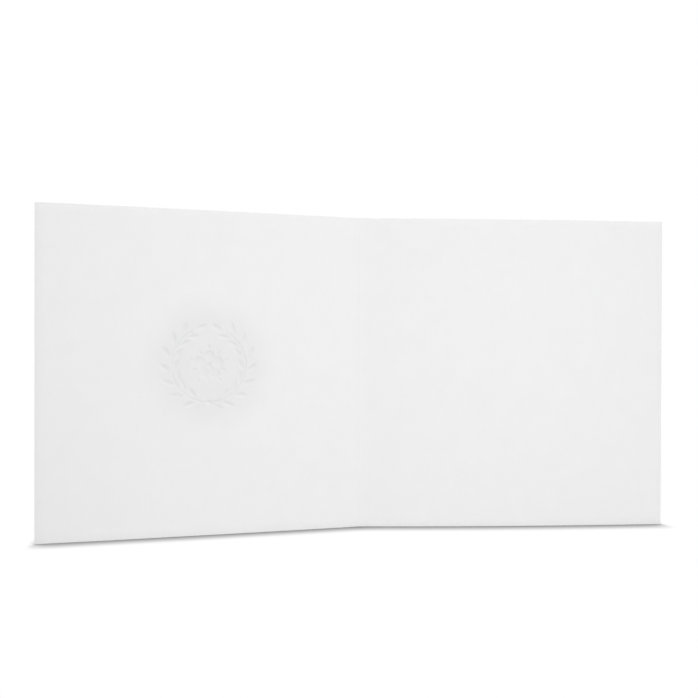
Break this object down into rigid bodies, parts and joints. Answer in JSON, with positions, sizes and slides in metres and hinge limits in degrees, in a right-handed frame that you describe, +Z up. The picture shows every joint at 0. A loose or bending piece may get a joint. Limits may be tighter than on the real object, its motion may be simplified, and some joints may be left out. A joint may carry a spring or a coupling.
{
  "type": "greeting card",
  "caption": "Square folded card of white board, standing half open on its bottom edges, its front leaf blind embossed with a wreath and blossom.",
  "frame": {"origin": "under the middle of the card's box, on the surface that it stands on", "axes": "+Z up along the fold, +X from the front leaf's free edge to the back leaf's, -Y out of the open card's inside"},
  "size_m": [0.2938, 0.018, 0.148],
  "materials": {
    "card_stock": "matte, uncoated, smooth white board"
  },
  "bodies": {
    "root": {"card": "card_stock"}
  },
  "joints": []
}
